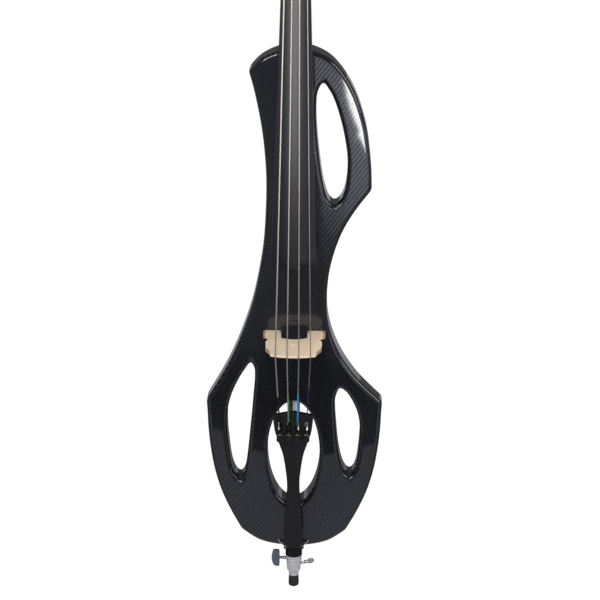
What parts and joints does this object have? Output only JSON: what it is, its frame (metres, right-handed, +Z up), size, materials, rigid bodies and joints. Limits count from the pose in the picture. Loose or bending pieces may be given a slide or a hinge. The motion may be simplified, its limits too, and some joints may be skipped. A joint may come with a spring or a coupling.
{
  "type": "electric cello",
  "caption": "Electric cello with an open asymmetric body, strings over a carved bridge, tailpiece with built-in fine tuners, tuning pegs, rear controls and a sliding, clamped endpin.",
  "frame": {"origin": "middle of the rubber tip's flat underside, on the endpin's axis", "axes": "+Z up along the endpin, +X to the right as seen from the front, the strings face -Y"},
  "size_m": [0.2532, 0.2182, 1.2344],
  "materials": {
    "body": "carbon-fibre twill under gloss lacquer",
    "neck": "carbon-fibre twill under gloss lacquer",
    "fingerboard": "satin charcoal composite",
    "fitting_black": "polished black",
    "peg": "satin black hardwood",
    "string": "flat-wound steel",
    "bridge": "bare maple",
    "pickup": "black",
    "tailpiece": "satin black",
    "tuner_bush": "gold-coloured",
    "tuner_screw": "black, knurled",
    "tuner_lever": "bright",
    "tailgut": "braided cord",
    "endpin_plug": "satin black",
    "endpin_sleeve": "polished",
    "endpin_collar": "brushed",
    "wing_screw": "grey-blue",
    "clamp_screw": "bright",
    "endpin_rod": "black",
    "rubber_tip": "black",
    "rear_plate": "satin black",
    "battery": "plain grey",
    "circuit_board": "green solder mask",
    "pot": "plain",
    "knob": "satin black",
    "jack": "bright",
    "cover_screw": "dark",
    "neck_bolt": "dark"
  },
  "bodies": {
    "instrument": {"body": "body", "neck": "neck", "fingerboard": "fingerboard", "nut": "fitting_black", "saddle": "fitting_black", "string_C": "string", "string_G": "string", "string_D": "string", "string_A": "string", "bridge": "bridge", "pickup_bass": "pickup", "pickup_treble": "pickup", "tailpiece": "tailpiece", "tuner_bush_C": "tuner_bush", "tuner_bush_G": "tuner_bush", "tuner_bush_D": "tuner_bush", "tuner_bush_A": "tuner_bush", "tailgut": "tailgut", "endpin_plug": "endpin_plug", "endpin_sleeve": "endpin_sleeve", "endpin_collar": "endpin_collar", "control_plate": "rear_plate", "battery": "battery", "preamp_board": "circuit_board", "volume_pot": "pot", "tone_pot": "pot", "output_jack": "jack", "jack_nut": "jack", "cover_screw_1": "cover_screw", "cover_screw_2": "cover_screw", "cover_screw_3": "cover_screw", "cover_screw_4": "cover_screw", "neck_bolt_1": "neck_bolt", "neck_bolt_2": "neck_bolt"},
    "peg_C_body": {"peg_C": "peg"},
    "peg_G_body": {"peg_G": "peg"},
    "peg_D_body": {"peg_D": "peg"},
    "peg_A_body": {"peg_A": "peg"},
    "tuner_screw_C_body": {"tuner_screw_C": "tuner_screw"},
    "tuner_lever_C_body": {"tuner_lever_C": "tuner_lever"},
    "tuner_screw_G_body": {"tuner_screw_G": "tuner_screw"},
    "tuner_lever_G_body": {"tuner_lever_G": "tuner_lever"},
    "tuner_screw_D_body": {"tuner_screw_D": "tuner_screw"},
    "tuner_lever_D_body": {"tuner_lever_D": "tuner_lever"},
    "tuner_screw_A_body": {"tuner_screw_A": "tuner_screw"},
    "tuner_lever_A_body": {"tuner_lever_A": "tuner_lever"},
    "endpin_slider": {"endpin_rod": "endpin_rod", "rubber_tip": "rubber_tip"},
    "wing_screw_body": {"wing_screw": "wing_screw"},
    "clamp_screw_body": {"clamp_screw": "clamp_screw"},
    "volume_knob_body": {"volume_knob": "knob"},
    "tone_knob_body": {"tone_knob": "knob"},
    "battery_door_body": {"battery_door": "rear_plate"}
  },
  "joints": [
    {"name": "peg_C_turn", "type": "hinge", "parent": "instrument", "child": "peg_C_body", "pos_m": [-0.03, 0.02722, 1.10203], "axis": [-1, 0, 0], "continuous": true},
    {"name": "peg_G_turn", "type": "hinge", "parent": "instrument", "child": "peg_G_body", "pos_m": [-0.03, 0.04442, 1.15113], "axis": [-1, 0, 0], "continuous": true},
    {"name": "peg_D_turn", "type": "hinge", "parent": "instrument", "child": "peg_D_body", "pos_m": [0.03, 0.05302, 1.17568], "axis": [1, 0, 0], "continuous": true},
    {"name": "peg_A_turn", "type": "hinge", "parent": "instrument", "child": "peg_A_body", "pos_m": [0.03, 0.03582, 1.12658], "axis": [1, 0, 0], "continuous": true},
    {"name": "tuner_screw_C_turn", "type": "hinge", "parent": "instrument", "child": "tuner_screw_C_body", "pos_m": [-0.0189, -0.07778, 0.26782], "axis": [0, 0.9835, 0.1812], "range_deg": [0, 1800]},
    {"name": "tuner_lever_C_rock", "type": "hinge", "parent": "instrument", "child": "tuner_lever_C_body", "pos_m": [-0.0189, -0.07639, 0.28232], "axis": [1, 0, 0], "range_deg": [0, 8]},
    {"name": "tuner_screw_G_turn", "type": "hinge", "parent": "instrument", "child": "tuner_screw_G_body", "pos_m": [-0.0063, -0.07778, 0.26782], "axis": [0, 0.9835, 0.1812], "range_deg": [0, 1800]},
    {"name": "tuner_lever_G_rock", "type": "hinge", "parent": "instrument", "child": "tuner_lever_G_body", "pos_m": [-0.0063, -0.07639, 0.28232], "axis": [1, 0, 0], "range_deg": [0, 8]},
    {"name": "tuner_screw_D_turn", "type": "hinge", "parent": "instrument", "child": "tuner_screw_D_body", "pos_m": [0.0063, -0.07778, 0.26782], "axis": [0, 0.9835, 0.1812], "range_deg": [0, 1800]},
    {"name": "tuner_lever_D_rock", "type": "hinge", "parent": "instrument", "child": "tuner_lever_D_body", "pos_m": [0.0063, -0.07639, 0.28232], "axis": [1, 0, 0], "range_deg": [0, 8]},
    {"name": "tuner_screw_A_turn", "type": "hinge", "parent": "instrument", "child": "tuner_screw_A_body", "pos_m": [0.0189, -0.07778, 0.26782], "axis": [0, 0.9835, 0.1812], "range_deg": [0, 1800]},
    {"name": "tuner_lever_A_rock", "type": "hinge", "parent": "instrument", "child": "tuner_lever_A_body", "pos_m": [0.0189, -0.07639, 0.28232], "axis": [1, 0, 0], "range_deg": [0, 8]},
    {"name": "endpin_slide", "type": "slide", "parent": "instrument", "child": "endpin_slider", "axis": [0, 0, -1], "range_m": [0, 0.3]},
    {"name": "wing_screw_turn", "type": "hinge", "parent": "instrument", "child": "wing_screw_body", "pos_m": [-0.015, 0, 0.0445], "axis": [1, 0, 0], "range_deg": [-720, 0]},
    {"name": "clamp_screw_turn", "type": "hinge", "parent": "instrument", "child": "clamp_screw_body", "pos_m": [0, 0, 0.0335], "axis": [0.9703, 0, 0.2419], "range_deg": [0, 720]},
    {"name": "volume_knob_turn", "type": "hinge", "parent": "instrument", "child": "volume_knob_body", "pos_m": [-0.014, 0.028, 0.553], "axis": [0, 1, 0], "range_deg": [-270, 0]},
    {"name": "tone_knob_turn", "type": "hinge", "parent": "instrument", "child": "tone_knob_body", "pos_m": [0.014, 0.028, 0.553], "axis": [0, 1, 0], "range_deg": [-270, 0]},
    {"name": "battery_door_hinge", "type": "hinge", "parent": "instrument", "child": "battery_door_body", "pos_m": [0, 0.022, 0.448], "axis": [-1, 0, 0], "range_deg": [0, 100]}
  ],
  "couplings": [
    {"joint": "tuner_lever_C_rock", "follows": "tuner_screw_C_turn", "ratio": 0.004421},
    {"joint": "tuner_lever_G_rock", "follows": "tuner_screw_G_turn", "ratio": 0.004421},
    {"joint": "tuner_lever_D_rock", "follows": "tuner_screw_D_turn", "ratio": 0.004421},
    {"joint": "tuner_lever_A_rock", "follows": "tuner_screw_A_turn", "ratio": 0.004421}
  ]
}
